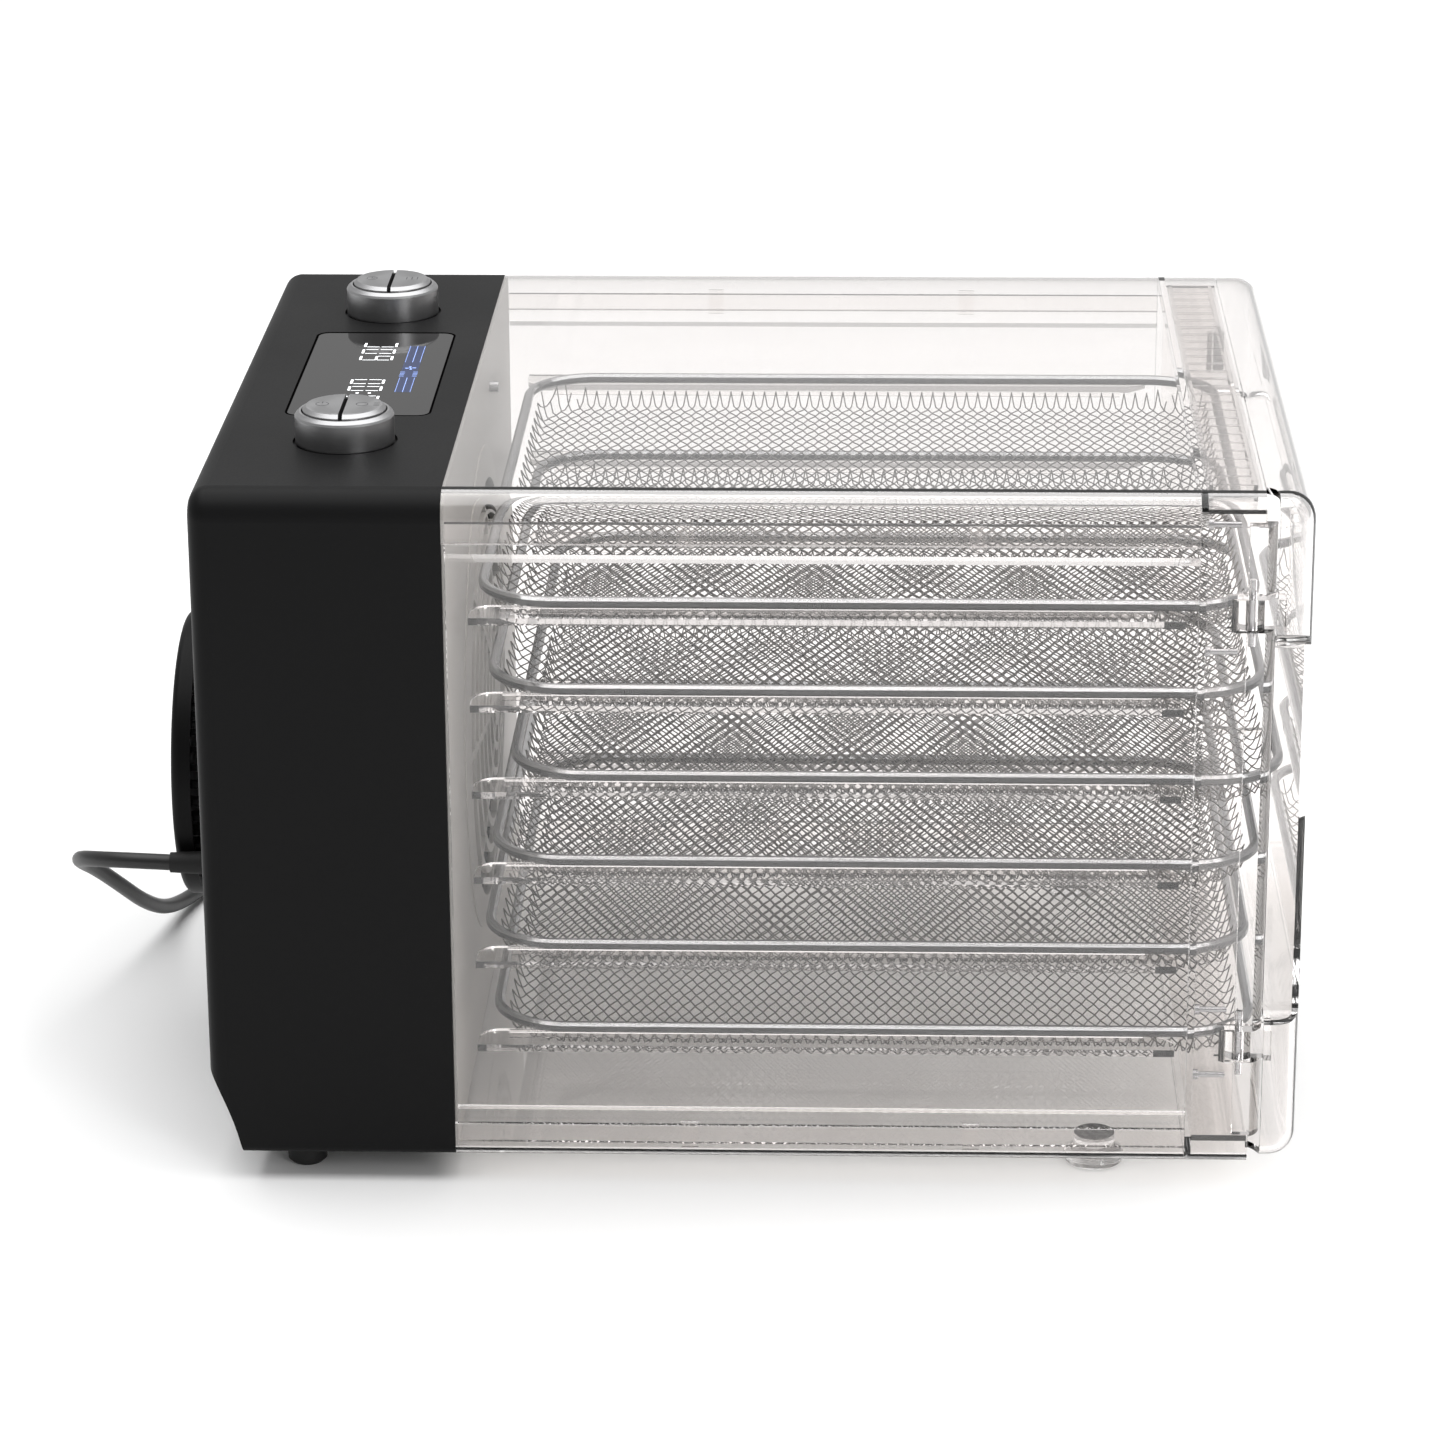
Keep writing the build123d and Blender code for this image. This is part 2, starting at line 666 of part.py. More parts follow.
def cord_tube():
    radii = cord_radii()
    path = FilletPolyline(*cord_route, radius=radii)
    section = Plane(origin=path @ 0, z_dir=path % 0) * Circle(cord_diameter / 2)
    tube = sweep(section, path)
    print("cord radii", [round(r, 1) for r in radii])
    print("cord tube length", round(path.length, 1), "volume ratio",
          round(tube.volume / (pi * (cord_diameter / 2) ** 2 * path.length), 4))
    return tube


def strain_relief():
    """Tapered sleeve with a collar inside the housing wall."""
    sleeve = turned([(cord_diameter / 2, 0), (cord_diameter / 2, relief_length),
                     (cord_diameter / 2 + 0.9, relief_length), (5.6, 4), (8.0, 4), (8.0, 0)],
                    0, 0, 0)
    neck = Pos(0, 0, -4.5) * (Cylinder(5.6, 9) - Cylinder(cord_diameter / 2, 12))
    return Pos(rear, cord_exit_y, exit_z) * Rot(0, -90, 0) * (sleeve + neck)


def cord_coil():
    """Plain flat ring in the place of two wound turns."""
    outer = coil_turn_radius + cord_spacing / 2
    inner = outer - 3 * cord_spacing
    return turned([(inner, 0), (outer, 0), (outer, cord_spacing), (inner, cord_spacing)],
                  coil_x, coil_y, 0)


plug_x, plug_y, plug_z = coil_start + 2 * cord_spacing, coil_y + 94.0, 12.0


def plug_body():
    """Two-pin plug on the floor beyond the coil, with its sleeve across the wound turns."""
    body = Pos(plug_x, plug_y, plug_z) * fillet(Box(27, 34, 24).edges(), 4.5)
    sleeve = Pos(plug_x, plug_y - 26, plug_z - 0.5) * Rot(90, 0, 0) * Cylinder(5.0, 22)
    return body + sleeve


def plug_pin(offset):
    return Pos(plug_x + offset, plug_y + 17 + 9.5, plug_z) * Rot(90, 0, 0) * Cylinder(2.0, 19)


# --- Build -------------------------------------------------------------------------------------
def small_parts():
    """Electrical parts and fasteners inside the housing."""
    save("thermal_cutout", block(rear + 90, rear + 97, -10, 10, fan_z + 100, fan_z + 106))
    save("temperature_sensor", bar_x(wall_face - 12, wall_face + 4, sensor_place[0],
                                     base_z + sensor_place[1], sensor_radius))
    board = block(rear + 20, rear + 90, 150, 151.6, base_z + 60, base_z + 190)
    board += block(rear + 30, rear + 56, 128, 150, base_z + 70, base_z + 100)
    board += block(rear + 62, rear + 84, 130, 150, base_z + 120, base_z + 150)
    save("power_board", board)
    save("terminal_block", block(rear + 10, rear + 30, -100, -74, base_z + 44, base_z + 58))
    screws = []
    for x, y in ((28, 130), (28, -130), (90, 130), (90, -130)):
        screws.append(post(rear + x, y, base_z - 1.6, base_z, 3.5))
    save("base_screws", *screws)


def build():
    os.makedirs("parts", exist_ok=True)
    save("housing_shell", housing_shell())
    save("base_plate", base_plate())
    save("chamber_rear_wall", chamber_rear_wall())
    save("fan_guard", fan_guard())
    save("intake_cover", intake_cover())
    save("display_window", display_window())
    save("display_board", display_board())
    for name, y in knob_places.items():
        save(f"{name}_knob_ring", knob_ring(y))
        save(f"{name}_rear_button", half_button(y, -1))
        save(f"{name}_door_button", half_button(y, 1))
    save("control_cores", *[control_core(y) for y in knob_places.values()])
    save("encoders", *[encoder(y) for y in knob_places.values()])
    save("motor", motor())
    save("motor_bracket", motor_bracket())
    save("motor_shaft", motor_shaft())
    save("fan_impeller", fan_impeller())
    save("heater_frame", heater_frame())
    save("heater_coil", heater_coil())
    small_parts()
    save("top_panel", top_panel())
    save("bottom_panel", bottom_panel())
    for name, side in (("near", -1), ("far", 1)):
        save(f"side_panel_{name}", side_panel(side))
        save(f"tray_rails_{name}", *[tray_rail(side, level) for level in range(tray_count)])
    save("panel_clips", *panel_clips())
    save("front_frame", front_frame())
    save("vent_grille", vent_grille())
    save("hinge_pins", *[hinge_pin(z) for z in pin_centres])
    save("hinge_screws", *[hinge_screw(z) for z in hinge_screw_heights])
    save("strike_plates", *[strike_plate(z) for z in catch_heights])
    save("door_shell", door_shell())
    save("door_magnets", *[door_magnet(z) for z in catch_heights])
    for number in range(tray_count):
        x = rear + tray_stop + tray_rest[number] + tray_length / 2
        z = tray_base(tray_count - 1 - number)
        save(f"tray_{number + 1}_rim", tray_rim(x, z))
        save(f"tray_{number + 1}_mesh", tray_mesh(x, z))
    save("rear_feet", *[rear_foot(side) for side in (-1, 1)])
    save("front_feet", *[front_foot(side) for side in (-1, 1)])
    save("strain_relief", strain_relief())
    save("power_cord", cord_tube())
    save("cord_coil", cord_coil())
    save("plug", plug_body())
    save("plug_pins", *[plug_pin(offset) for offset in (-9.5, 9.5)])


build()
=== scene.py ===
import json
from math import cos, hypot, pi, radians, sin

import bpy
from mathutils import Matrix, Vector


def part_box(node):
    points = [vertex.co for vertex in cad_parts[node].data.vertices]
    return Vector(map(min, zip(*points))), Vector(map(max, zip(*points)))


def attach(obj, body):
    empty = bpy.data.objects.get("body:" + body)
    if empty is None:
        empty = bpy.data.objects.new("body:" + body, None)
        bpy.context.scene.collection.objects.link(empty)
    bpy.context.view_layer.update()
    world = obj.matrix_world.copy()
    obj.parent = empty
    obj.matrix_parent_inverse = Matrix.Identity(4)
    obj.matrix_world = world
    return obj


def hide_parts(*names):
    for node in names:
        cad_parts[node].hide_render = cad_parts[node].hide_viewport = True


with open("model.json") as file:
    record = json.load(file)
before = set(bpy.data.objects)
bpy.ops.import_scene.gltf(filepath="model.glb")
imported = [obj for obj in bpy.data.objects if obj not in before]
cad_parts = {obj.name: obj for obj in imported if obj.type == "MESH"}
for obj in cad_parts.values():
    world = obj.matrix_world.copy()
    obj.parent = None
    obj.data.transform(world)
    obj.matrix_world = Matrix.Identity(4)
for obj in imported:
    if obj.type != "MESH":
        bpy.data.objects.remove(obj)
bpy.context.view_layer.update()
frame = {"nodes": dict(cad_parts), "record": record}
scene = bpy.context.scene

MM = 0.001

# --- Sizes, in millimetres -----------------------------------------------------------------------
CAMERA_PLACE = (69.5, -2052.0, 871.0)
CAMERA_DOWN, CAMERA_YAW, CAMERA_ROLL = 19.57, 2.02, -0.31
CAMERA_LENS = 123.55

CORD_DIAMETER = 7.0
CORD_FLOOR = 3.6
CORD_ROUTE = (
    (-239.5, -62.0, 96.0), (-255.0, -61.8, 96.6), (-271.0, -55.0, 94.5), (-282.5, -41.0, 89.5),
    (-286.0, -22.0, 81.0), (-283.0, 2.0, 68.0), (-277.0, 30.0, 49.0), (-271.5, 60.0, 29.0),
    (-267.0, 91.0, 13.5), (-262.0, 121.0, 5.2), (-254.0, 149.0, CORD_FLOOR),
    (-243.0, 174.0, CORD_FLOOR), (-230.0, 197.0, CORD_FLOOR), (-217.5, 218.0, CORD_FLOOR),
)
COIL_CENTRE = (-159.5, 240.0)
COIL_RADIUS = 50.4
COIL_PITCH = 7.3
COIL_TURNS = 2
COIL_POINTS_A_TURN = 16
CORD_TAIL = (
    (-195.0, 253.0, 9.4), (-195.0, 263.0, 11.6), (-195.1, 279.0, 11.6), (-195.1, 292.0, 11.5),
    (-195.1, 306.0, 11.5),
)

MESH_CELL = (5.2, 11.8)
WIRE_RADIUS = 0.31
WEAVE_LIFT = 0.27
BASKET_WALL = 5.3

DIGIT_HEIGHT, DIGIT_WIDTH = 14.6, 6.6
LEVEL_STROKE, UPRIGHT_STROKE, STROKE_GAP = 1.0, 0.32, 0.5
FIGURES = (("6", 24.0), ("0", 34.8), ("C", 45.6), ("8", -39.5), ("0", -24.8), ("0", -14.0))
FIGURE_TOP = -8.0          # from the middle of the display, towards the housing's back
COLON_Y, COLON_RADIUS = -31.8, 0.7
LIT_LOW, LIT_HIGH = 0.02, 0.08   # lit signs over the display glass
LEVEL_LINES_X = 12.5       # first of the level lines, from the middle of the display
LEVEL_LINES_Y = (-30.0, 44.0)
LEVEL_LINES_BREAK = (-7.5, 17.5)
SEAM_LIFT = 0.13


# --- Camera --------------------------------------------------------------------------------------
def camera():
    data = bpy.data.cameras.new("camera")
    data.lens, data.sensor_width = CAMERA_LENS, 36.0
    data.clip_end = 50.0
    eye = bpy.data.objects.new("camera", data)
    scene.collection.objects.link(eye)
    turn = Matrix.Rotation(radians(CAMERA_YAW), 4, "Z")
    tilt = Matrix.Rotation(radians(90 - CAMERA_DOWN), 4, "X")
    roll = Matrix.Rotation(radians(CAMERA_ROLL), 4, "Z")
    eye.matrix_world = Matrix.Translation(Vector(CAMERA_PLACE) * MM) @ turn @ tilt @ roll
    scene.camera = eye


# --- Power cord ----------------------------------------------------------------------------------
def coil_points():
    """Flat spiral on the floor, wound clockwise from its start on the -X side."""
    steps = COIL_TURNS * COIL_POINTS_A_TURN
    for step in range(steps + 1):
        turns = step / COIL_POINTS_A_TURN
        angle = pi - 2 * pi * turns
        radius = (COIL_RADIUS - COIL_PITCH * turns) * 1.012
        lift = max(0.0, (turns - COIL_TURNS + 0.1) / 0.1) * 2.0
        yield (COIL_CENTRE[0] + radius * cos(angle), COIL_CENTRE[1] + radius * sin(angle),
               CORD_FLOOR + lift)


def power_cord():
    data = bpy.data.curves.new("power_cord_line", "CURVE")
    data.dimensions = "3D"
    data.bevel_depth = CORD_DIAMETER / 2
    data.bevel_resolution = 6
    data.use_fill_caps = True
    places = [*CORD_ROUTE, *coil_points(), *CORD_TAIL]
    spline = data.splines.new("NURBS")
    spline.points.add(len(places) - 1)
    for point, place in zip(spline.points, places):
        point.co = (*(Vector(place) * MM), 1.0)
        point.radius = 0.001
    spline.order_u = 3
    spline.use_endpoint_u = True
    spline.resolution_u = 8
    cord = bpy.data.objects.new("power_cord_line", data)
    scene.collection.objects.link(cord)
    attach(cord, "body")
    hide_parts("power_cord", "cord_coil")
    return cord


camera()
cord = power_cord()


# --- Meshes --------------------------------------------------------------------------------------
def new_piece(name, mesh, body):
    piece = bpy.data.objects.new(name, mesh)
    scene.collection.objects.link(piece)
    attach(piece, body)
    return piece


def mesh_of(name, vertices, faces, smooth=False):
    mesh = bpy.data.meshes.new(name)
    mesh.from_pydata([Vector(v) * MM for v in vertices], [], faces)
    mesh.validate()
    if smooth:
        mesh.polygons.foreach_set("use_smooth", [True] * len(mesh.polygons))
    mesh.update()
    return mesh


def add_prism(vertices, faces, outline, low, high):
    """Appends the closed prism over an outline that runs anticlockwise from above."""
    n, first = len(outline), len(vertices)
    vertices += [(x, y, low) for x, y in outline] + [(x, y, high) for x, y in outline]
    faces.append([first + n - 1 - i for i in range(n)])
    faces.append([first + n + i for i in range(n)])
    for i in range(n):
        j = (i + 1) % n
        faces.append([first + i, first + j, first + n + j, first + n + i])


def add_wire(vertices, faces, line, radius, sides=4):
    """Appends a closed tube along a line of points that stays nearly level."""
    first = len(vertices)
    for i, point in enumerate(line):
        along = (line[min(i + 1, len(line) - 1)] - line[max(i - 1, 0)]).normalized()
        across = Vector((-along.y, along.x, 0)).normalized()
        up = along.cross(across)
        for side in range(sides):
            angle = 2 * pi * (side + 0.5) / sides
            vertices.append(point + radius * (cos(angle) * across + sin(angle) * up))
    for i in range(len(line) - 1):
        for side in range(sides):
            a, b = first + i * sides + side, first + i * sides + (side + 1) % sides
            faces.append([a, b, b + sides, a + sides])
    last = first + (len(line) - 1) * sides
    faces.append([first + sides - 1 - side for side in range(sides)])
    faces.append([last + side for side in range(sides)])


# --- Wire baskets --------------------------------------------------------------------------------
def rounded_depth(x, y, half_x, half_y, corner):
    """How far inside a rounded rectangle a point lies; negative outside."""
    qx, qy = abs(x) - half_x + corner, abs(y) - half_y + corner
    return corner - hypot(max(qx, 0), max(qy, 0)) - min(max(qx, qy), 0)


def basket_wires(half_x, half_y, corner, top, bottom):
    """Two families of crimped wires, woven over and under each other and pressed to a basket."""
    a, b = MESH_CELL

    def settle(u, v, lift):
        x, y = (u - v) * a / 2, (u + v) * b / 2
        depth = rounded_depth(x, y, half_x, half_y, corner)
        climb = max(0.0, 1 - depth / BASKET_WALL)
        soft = climb * climb * (1.6 - 0.6 * climb)
        return Vector((x, y, bottom + (top - bottom) * soft + lift)), depth

    vertices, faces = [], []
    reach = int(half_x / a + half_y / b) + 2
    for family in (0, 1):
        for wire in range(-reach, reach + 1):
            line = []
            for half_step in range(-2 * reach, 2 * reach + 1):
                along = half_step / 2
                u, v = (wire, along) if family == 0 else (along, wire)
                over = 1 if (wire + half_step // 2) % 2 == 0 else -1
                lift = 0.0 if half_step % 2 else WEAVE_LIFT * over * (1 if family == 0 else -1)
                place, depth = settle(u, v, lift)
                if depth < 0.15 or (half_step % 2 and depth > 2.2 * BASKET_WALL):
                    continue
                line.append(place)
            if len(line) > 2:
                add_wire(vertices, faces, line, WIRE_RADIUS)
    return vertices, faces


def tray_baskets():
    """One woven mesh, shared by the six trays."""
    low, high = (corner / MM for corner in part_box("tray_1_mesh"))
    half = (high - low) / 2
    vertices, faces = basket_wires(half.x - 0.1, half.y - 0.1, 27.8,
                                   half.z - WIRE_RADIUS - WEAVE_LIFT,
                                   -half.z + WIRE_RADIUS + WEAVE_LIFT)
    mesh = mesh_of("woven_basket", vertices, faces, smooth=True)
    for number in range(1, 7):
        low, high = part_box(f"tray_{number}_mesh")
        basket = bpy.data.objects.new(f"tray_{number}_basket", mesh)
        scene.collection.objects.link(basket)
        basket.location = (low + high) / 2
        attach(basket, f"tray_{number}")
        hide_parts(f"tray_{number}_mesh")
    return mesh


# --- Display -------------------------------------------------------------------------------------
SEGMENTS = {"0": "abcdef", "6": "acdefg", "8": "abcdefg", "C": "adef"}


def segment_outline(name, centre_y, top_x):
    """Outline of one bar of a digit that reads along +Y with its top towards -X."""
    w, h, gap = DIGIT_WIDTH, DIGIT_HEIGHT, STROKE_GAP
    left, right, middle = centre_y - w / 2, centre_y + w / 2, top_x + h / 2
    level = {"a": top_x, "g": middle - LEVEL_STROKE / 2, "d": top_x + h - LEVEL_STROKE}
    if name in level:
        x = level[name]
        return [(x, left + gap), (x + LEVEL_STROKE, left + gap), (x + LEVEL_STROKE, right - gap),
                (x, right - gap)]
    y = right - UPRIGHT_STROKE if name in "bc" else left
    start = top_x + LEVEL_STROKE if name in "bf" else middle
    end = middle if name in "bf" else top_x + h - LEVEL_STROKE
    return [(start + gap, y), (end - gap, y), (end - gap, y + UPRIGHT_STROKE),
            (start + gap, y + UPRIGHT_STROKE)]


def anticlockwise(outline):
    area = sum(x0 * y1 - x1 * y0 for (x0, y0), (x1, y1) in zip(outline, outline[1:] + outline[:1]))
    return outline if area > 0 else outline[::-1]


def ring_outline(x, y, radius, count=12):
    return [(x + radius * cos(2 * pi * i / count), y + radius * sin(2 * pi * i / count))
            for i in range(count)]


def display_middle():
    low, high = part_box("display_window")
    return (low.x + high.x) / 2 / MM


def lit_digits(glass_top):
    """Temperature and time in broken strokes."""
    vertices, faces = [], []
    low, high = glass_top + LIT_LOW, glass_top + LIT_HIGH
    top_x = display_middle() + FIGURE_TOP
    for digit, y in FIGURES:
        for name in SEGMENTS[digit]:
            outline = anticlockwise(segment_outline(name, y, top_x))
            add_prism(vertices, faces, outline, low, high)
    for x in (top_x + 4.6, top_x + 9.8):
        add_prism(vertices, faces, ring_outline(x, COLON_Y, COLON_RADIUS), low, high)
    return new_piece("lit_digits", mesh_of("lit_digits", vertices, faces), "body")


def painted_seam_shade():
    """Painted shade: a flat black ring over the gap round the display window."""
    low, high = (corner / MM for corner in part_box("display_window"))
    z = high.z + SEAM_LIFT
    rings = []
    for grow in (-0.15, 0.85):
        corner = 5.0 + grow
        points = []
        for quarter in range(4):
            side_x, side_y = ((1, 1), (-1, 1), (-1, -1), (1, -1))[quarter]
            x = (high.x if side_x > 0 else low.x) + side_x * (grow - corner)
            y = (high.y if side_y > 0 else low.y) + side_y * (grow - corner)
            points += [(x + corner * cos(pi / 2 * (quarter + k / 6)),
                        y + corner * sin(pi / 2 * (quarter + k / 6)), z) for k in range(7)]
        rings.append(points)
    count = len(rings[0])
    faces = [[i, count + i, count + (i + 1) % count, (i + 1) % count] for i in range(count)]
    return new_piece("painted_seam_shade", mesh_of("painted_seam_shade", rings[0] + rings[1], faces), "body")


def lit_icons(glass_top):
    """Three thin level lines, broken in the middle by a small fan sign and bars."""
    vertices, faces = [], []
    low, high = glass_top + LIT_LOW, glass_top + LIT_HIGH
    first_x = display_middle() + LEVEL_LINES_X
    near_end, far_end = LEVEL_LINES_Y
    for line, thick in ((0, 0.16), (3.2, 0.24), (6.4, 0.16)):
        for start, end in ((near_end, LEVEL_LINES_BREAK[0]), (LEVEL_LINES_BREAK[1], far_end)):
            add_bar(vertices, faces, first_x + line, (start + end) / 2, thick, end - start, low, high)
    fan_x, fan_y = first_x + 3.2, 8.0
    for blade in range(4):
        turn = blade * pi / 2
        outline = [(fan_x + r * cos(turn + t), fan_y + r * sin(turn + t))
                   for r, t in ((0.4, 0.0), (2.3, -0.12), (2.5, 0.25), (1.6, 0.5), (0.6, 0.4))]
        add_prism(vertices, faces, anticlockwise(outline), low, high)
    for start in (-5.2, -3.0, -0.8, 1.4):
        for side in (0.4, 6.0):
            add_bar(vertices, faces, first_x + side, start + 0.2, 2.0, 0.4, low, high)
    return new_piece("lit_icons", mesh_of("lit_icons", vertices, faces), "body")


def display_glow(glass_top):
    """Dim blue band behind the level lines."""
    vertices, faces = [], []
    near_end, far_end = LEVEL_LINES_Y
    add_bar(vertices, faces, display_middle() + LEVEL_LINES_X + 3.2, (near_end + far_end) / 2, 7.2,
            far_end - near_end, glass_top + 0.004, glass_top + 0.012)
    return new_piece("display_glow", mesh_of("display_glow", vertices, faces), "body")


# --- Signs on the buttons ------------------------------------------------------------------------
def add_arc(vertices, faces, x, y, radius, start, end, width, low, high):
    """Appends a raised arc as short straight blocks; angles in degrees."""
    count = max(4, int((end - start) / 15))
    for i in range(count):
        t0, t1 = (radians(start + (end - start) * k / count) for k in (i, i + 1))
        inner, outer = radius - width / 2, radius + width / 2
        add_prism(vertices, faces, [(x + inner * cos(t0), y + inner * sin(t0)),
                                    (x + outer * cos(t0), y + outer * sin(t0)),
                                    (x + outer * cos(t1), y + outer * sin(t1)),
                                    (x + inner * cos(t1), y + inner * sin(t1))], low, high)


def add_bar(vertices, faces, x, y, size_x, size_y, low, high):
    add_prism(vertices, faces, [(x - size_x / 2, y - size_y / 2), (x + size_x / 2, y - size_y / 2),
                                (x + size_x / 2, y + size_y / 2), (x - size_x / 2, y + size_y / 2)],
              low, high)


def button_signs():
    """Small printed signs: on and off, start, a clock and a warm-air sign, all of plain lines."""
    pieces = []
    for knob in ("near", "far"):
        for side in ("rear", "door"):
            node = f"{knob}_{side}_button"
            low, high = (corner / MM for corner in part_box(node))
            x, y, top = (low.x + high.x) / 2, (low.y + high.y) / 2, high.z
            under, over = top + 0.004, top + 0.03
            vertices, faces = [], []
            if node == "near_rear_button":
                add_arc(vertices, faces, x, y, 2.6, 120, 420, 0.45, under, over)
                add_bar(vertices, faces, x, y + 2.2, 0.45, 2.4, under, over)
            elif node == "near_door_button":
                add_arc(vertices, faces, x - 1.6, y, 2.4, 0, 360, 0.4, under, over)
                for k in range(3):
                    add_bar(vertices, faces, x + 4.4, y - 1.8 + 1.8 * k, 2.4, 0.5, under, over)
            elif node == "far_rear_button":
                add_arc(vertices, faces, x, y, 2.3, 0, 360, 0.4, under, over)
                add_bar(vertices, faces, x, y + 0.8, 0.4, 1.6, under, over)
                add_bar(vertices, faces, x + 0.7, y, 1.4, 0.4, under, over)
            else:
                for k in range(3):
                    add_bar(vertices, faces, x - 2.4 + 2.4 * k, y, 0.45, 4.2, under, over)
            mesh = mesh_of(f"{node}_sign", vertices, faces)
            pieces.append(new_piece(f"{node}_sign", mesh, node))
    return pieces


# --- Shader helpers ------------------------------------------------------------------------------
def join(tree, socket, value):
    if isinstance(value, bpy.types.NodeSocket):
        tree.links.new(value, socket)
    else:
        socket.default_value = value


def add(tree, kind, settings=None, values=None):
    """Node with its settings and its inputs, each by name or number, a value or a socket."""
    node = tree.nodes.new("ShaderNode" + kind)
    for name, value in (settings or {}).items():
        setattr(node, name, value)
    for key, value in (values or {}).items():
        join(tree, node.inputs[key], value)
    return node


def math(tree, operation, a, b=0.0):
    return add(tree, "Math", {"operation": operation}, {0: a, 1: b}).outputs[0]


def noise(tree, place, scale, detail=2.0, roughness=0.5):
    return add(tree, "TexNoise", {}, {"Vector": place, "Scale": scale, "Detail": detail,
                                      "Roughness": roughness}).outputs["Fac"]


def between(tree, factor, low, high):
    """Value that runs from low to high as factor goes from 0 to 1."""
    return add(tree, "MapRange", {}, {"Value": factor, "To Min": low, "To Max": high}).outputs[0]


def object_place(tree):
    return add(tree, "TexCoord").outputs["Object"]


def node_group(name, inputs, outputs):
    tree = bpy.data.node_groups.new(name, "ShaderNodeTree")
    for label, kind, value in inputs:
        socket = tree.interface.new_socket(label, in_out="INPUT", socket_type="NodeSocket" + kind)
        socket.default_value = value
    for label, kind in outputs:
        tree.interface.new_socket(label, in_out="OUTPUT", socket_type="NodeSocket" + kind)
    return tree, tree.nodes.new("NodeGroupInput").outputs, tree.nodes.new("NodeGroupOutput").inputs


# --- Shared effects ------------------------------------------------------------------------------
def tinted(tree, colour, amount):
    """Colour made lighter or darker by a factor about 1."""
    shade = add(tree, "CombineColor", {}, {"Red": amount, "Green": amount, "Blue": amount})
    mix = add(tree, "Mix", {"data_type": "RGBA", "blend_type": "MULTIPLY"}, {"Factor": 1.0})
    join(tree, mix.inputs[6], colour)
    join(tree, mix.inputs[7], shade.outputs[0])
    return mix.outputs[2]


def moulded_grain():
    """Fine texture of moulded plastic with a slow change of tone and gloss."""
    tree, given, out = node_group(
        "moulded_grain",
        [("Color", "Color", (0.5, 0.5, 0.5, 1)), ("Grain Scale", "Float", 1800.0),
         ("Tone Change", "Float", 0.08), ("Roughness", "Float", 0.5),
         ("Roughness Change", "Float", 0.08)],
        [("Color", "Color"), ("Roughness", "Float"), ("Height", "Float")])
    place = object_place(tree)
    grain = noise(tree, place, given["Grain Scale"], 3.0, 0.6)
    slow = noise(tree, place, 14.0, 3.0)
    signed = math(tree, "SUBTRACT", slow, 0.5)
    tone = math(tree, "ADD", 1.0, math(tree, "MULTIPLY", signed, given["Tone Change"]))
    join(tree, out["Color"], tinted(tree, given["Color"], tone))
    gloss = math(tree, "MULTIPLY", math(tree, "ADD", signed, math(tree, "SUBTRACT", grain, 0.5)),
                 given["Roughness Change"])
    join(tree, out["Roughness"], math(tree, "ADD", given["Roughness"], gloss))
    join(tree, out["Height"], grain)
    return tree


def brushed_lines():
    """Fine scratches, long in one direction, which change tone, gloss and height."""
    tree, given, out = node_group(
        "brushed_lines",
        [("Color", "Color", (0.5, 0.5, 0.5, 1)), ("Place", "Vector", (0, 0, 0)),
         ("Line Scale", "Float", 900.0), ("Tone Change", "Float", 0.2),
         ("Roughness", "Float", 0.3), ("Roughness Change", "Float", 0.12)],
        [("Color", "Color"), ("Roughness", "Float"), ("Height", "Float")])
    fine = noise(tree, given["Place"], given["Line Scale"], 3.0, 0.65)
    broad = noise(tree, given["Place"], math(tree, "MULTIPLY", given["Line Scale"], 0.22), 2.0)
    mixed = math(tree, "SUBTRACT", math(tree, "ADD", math(tree, "MULTIPLY", fine, 0.65),
                                        math(tree, "MULTIPLY", broad, 0.35)), 0.5)
    tone = math(tree, "ADD", 1.0, math(tree, "MULTIPLY", mixed, given["Tone Change"]))
    join(tree, out["Color"], tinted(tree, given["Color"], tone))
    join(tree, out["Roughness"], math(tree, "ADD", given["Roughness"],
                                      math(tree, "MULTIPLY", mixed, given["Roughness Change"])))
    join(tree, out["Height"], mixed)
    return tree


def clear_flow():
    """Slow waviness and faint handling marks of a clear moulding."""
    tree, given, out = node_group(
        "clear_flow",
        [("Roughness", "Float", 0.03), ("Mark Strength", "Float", 0.05),
         ("Wave Scale", "Float", 22.0)],
        [("Roughness", "Float"), ("Height", "Float")])
    place = object_place(tree)
    wave = noise(tree, place, given["Wave Scale"], 2.0)
    marks = noise(tree, place, 60.0, 4.0, 0.7)
    mask = add(tree, "MapRange", {}, {"Value": marks, "From Min": 0.55, "From Max": 0.8}).outputs[0]
    join(tree, out["Roughness"], math(tree, "ADD", given["Roughness"],
                                      math(tree, "MULTIPLY", mask, given["Mark Strength"])))
    join(tree, out["Height"], wave)
    return tree


GRAIN, BRUSH, FLOW = moulded_grain(), brushed_lines(), clear_flow()


# --- Materials -----------------------------------------------------------------------------------
def material(name):
    """Node material; returns it with its tree and its Principled shader."""
    made = bpy.data.materials.new(name)
    made.use_nodes = True
    return made, made.node_tree, made.node_tree.nodes["Principled BSDF"]


def effect(tree, group, values):
    return add(tree, "Group", {"node_tree": group}, values).outputs


def bumped(tree, shader, height, strength, distance):
    bump = add(tree, "Bump", {}, {"Height": height, "Strength": strength, "Distance": distance})
    join(tree, shader.inputs["Normal"], bump.outputs[0])


